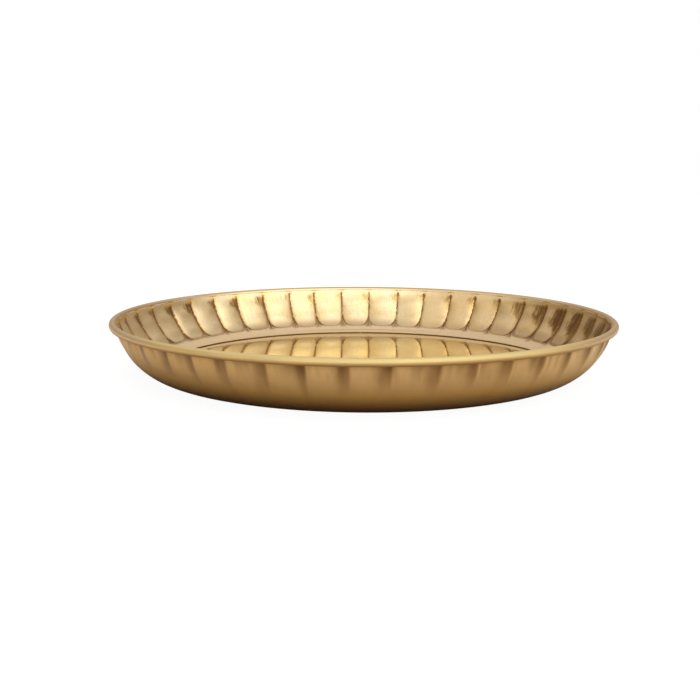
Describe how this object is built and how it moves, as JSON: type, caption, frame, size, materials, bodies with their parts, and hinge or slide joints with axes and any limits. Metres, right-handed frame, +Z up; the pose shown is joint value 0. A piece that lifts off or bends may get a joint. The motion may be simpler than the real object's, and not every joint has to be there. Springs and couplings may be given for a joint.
{
  "type": "brass tray",
  "caption": "Small round brass tray with a flat polished floor, a fluted petal-like wall and a rolled, wired rim, for serving or for standing things on.",
  "frame": {"origin": "centre of the base, on the plane the tray stands on", "axes": "+Z up along the axis of the round tray; X and Y are equal, and a crease between two petals lies about 2 degrees from +Y towards +X"},
  "size_m": [0.1524, 0.1524, 0.0165],
  "materials": {
    "dish": "polished floor, satin cove and wall, brown patina in the creases",
    "wire": "plain drawn wire"
  },
  "bodies": {
    "root": {"dish": "dish", "rim_wire": "wire"}
  },
  "joints": []
}
